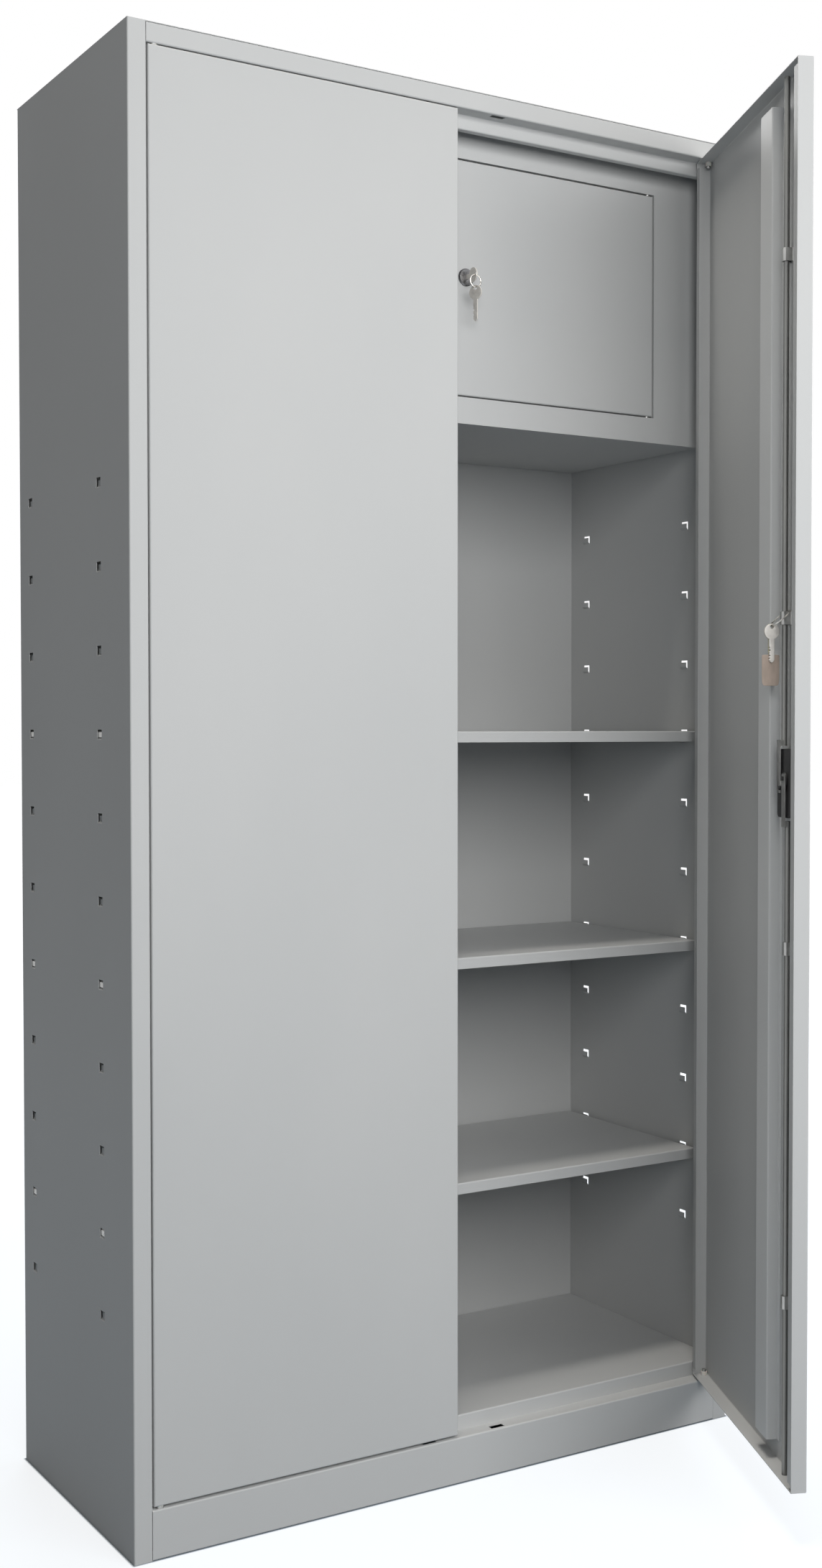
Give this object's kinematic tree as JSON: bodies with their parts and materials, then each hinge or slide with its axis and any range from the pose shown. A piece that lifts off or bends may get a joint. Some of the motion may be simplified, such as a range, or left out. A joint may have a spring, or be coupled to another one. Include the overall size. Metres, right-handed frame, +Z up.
{
  "type": "two-door steel office cabinet",
  "caption": "Tall two-door sheet-steel office cabinet with adjustable shelves, a rod-lock door, slide bolts and a lockable inner box.",
  "frame": {"origin": "on the floor, in the middle of the plinth's foot flange, midway across the front", "axes": "+X to the viewer's right across the front, +Y from the front to the back, +Z up"},
  "size_m": [0.9, 0.7564, 1.8],
  "materials": {
    "painted_steel": "light grey fine-textured powder coat",
    "zinc_steel": "bright zinc plate",
    "black_plastic": "fine moulded grain",
    "nylon": "natural white",
    "lock_chrome": "polished",
    "tan_card": "blank tan card",
    "key_steel": "nickel-plated"
  },
  "bodies": {
    "cabinet": {"right_side_panel": "painted_steel", "left_side_panel": "painted_steel", "back_panel": "painted_steel", "top_panel": "painted_steel", "header_rail": "painted_steel", "plinth_sill": "painted_steel", "floor_panel": "painted_steel", "upper_shelf": "painted_steel", "middle_shelf": "painted_steel", "lower_shelf": "painted_steel", "box_front_frame": "painted_steel", "box_side_wall": "painted_steel", "box_floor": "painted_steel", "left_hinge_pins": "zinc_steel", "right_hinge_pins": "zinc_steel", "box_hinge_pins": "zinc_steel", "upper_shelf_clips": "zinc_steel", "middle_shelf_clips": "zinc_steel", "lower_shelf_clips": "zinc_steel"},
    "left_door": {"left_door_pan": "painted_steel", "left_door_stiffener": "painted_steel", "left_hinge_bushes": "nylon", "left_bolt_guides": "zinc_steel"},
    "left_upper_bolt": {"left_upper_bolt": "zinc_steel"},
    "left_lower_bolt": {"left_lower_bolt": "zinc_steel"},
    "right_door": {"right_door_pan": "painted_steel", "right_door_stiffener": "painted_steel", "right_hinge_bushes": "nylon", "lock_housing": "black_plastic", "rod_guides": "zinc_steel", "spare_key_ring": "key_steel"},
    "lock_knob": {"lock_knob": "black_plastic", "lock_cam": "zinc_steel", "lock_screw": "zinc_steel"},
    "lock_plug": {"lock_plug": "lock_chrome"},
    "upper_rod": {"upper_lock_rod": "zinc_steel", "upper_rod_fork": "zinc_steel"},
    "lower_rod": {"lower_lock_rod": "zinc_steel", "lower_rod_fork": "zinc_steel"},
    "spare_keys": {"spare_keys": "key_steel", "spare_key_tag": "tan_card"},
    "box_door": {"box_door": "painted_steel", "box_lock_body": "lock_chrome", "box_lock_nut": "zinc_steel"},
    "box_lock": {"box_lock_plug": "lock_chrome", "box_lock_cam": "zinc_steel", "box_key": "key_steel"},
    "key_ring": {"box_key_ring": "key_steel", "box_hanging_key": "key_steel"}
  },
  "joints": [
    {"name": "left_door_swing", "type": "hinge", "parent": "cabinet", "child": "left_door", "pos_m": [-0.4155, -0.006, 0], "axis": [0, 0, -1], "range_deg": [0, 110]},
    {"name": "left_upper_bolt_slide", "type": "slide", "parent": "left_door", "child": "left_upper_bolt", "axis": [0, 0, 1], "range_m": [0, 0.012]},
    {"name": "left_lower_bolt_slide", "type": "slide", "parent": "left_door", "child": "left_lower_bolt", "axis": [0, 0, -1], "range_m": [0, 0.012]},
    {"name": "right_door_swing", "type": "hinge", "parent": "cabinet", "child": "right_door", "pos_m": [0.4155, -0.006, 0], "axis": [0, 0, 1], "range_deg": [-66.7, 43.3]},
    {"name": "lock_knob_turn", "type": "hinge", "parent": "right_door", "child": "lock_knob", "pos_m": [0.28198, -0.33121, 0.916], "axis": [0.9184, -0.3955, 0], "range_deg": [0, 90]},
    {"name": "lock_plug_turn", "type": "hinge", "parent": "lock_knob", "child": "lock_plug", "pos_m": [0.28198, -0.33121, 0.916], "axis": [0.9184, -0.3955, 0], "range_deg": [0, 90]},
    {"name": "upper_rod_slide", "type": "slide", "parent": "right_door", "child": "upper_rod", "axis": [0, 0, 1], "range_m": [0, 0.012]},
    {"name": "lower_rod_slide", "type": "slide", "parent": "right_door", "child": "lower_rod", "axis": [0, 0, -1], "range_m": [0, 0.012]},
    {"name": "spare_keys_swing", "type": "hinge", "parent": "right_door", "child": "spare_keys", "pos_m": [0.26084, -0.31422, 1.10732], "axis": [0.3955, 0.9184, 0], "range_deg": [0, 25]},
    {"name": "box_door_swing", "type": "hinge", "parent": "cabinet", "child": "box_door", "pos_m": [0.353, 0.0526, 0], "axis": [0, 0, 1], "range_deg": [0, 65]},
    {"name": "box_lock_turn", "type": "hinge", "parent": "box_door", "child": "box_lock", "pos_m": [0.048, 0.048, 1.578], "axis": [0, 1, 0], "range_deg": [0, 90]},
    {"name": "key_ring_swing", "type": "hinge", "parent": "box_lock", "child": "key_ring", "pos_m": [0.048, 0.0235, 1.5769], "axis": [1, 0, 0], "range_deg": [-20, 20]}
  ],
  "couplings": [
    {"joint": "lock_knob_turn", "follows": "upper_rod_slide", "rad_per_m": 130.89},
    {"joint": "lower_rod_slide", "follows": "upper_rod_slide", "ratio": 1}
  ]
}
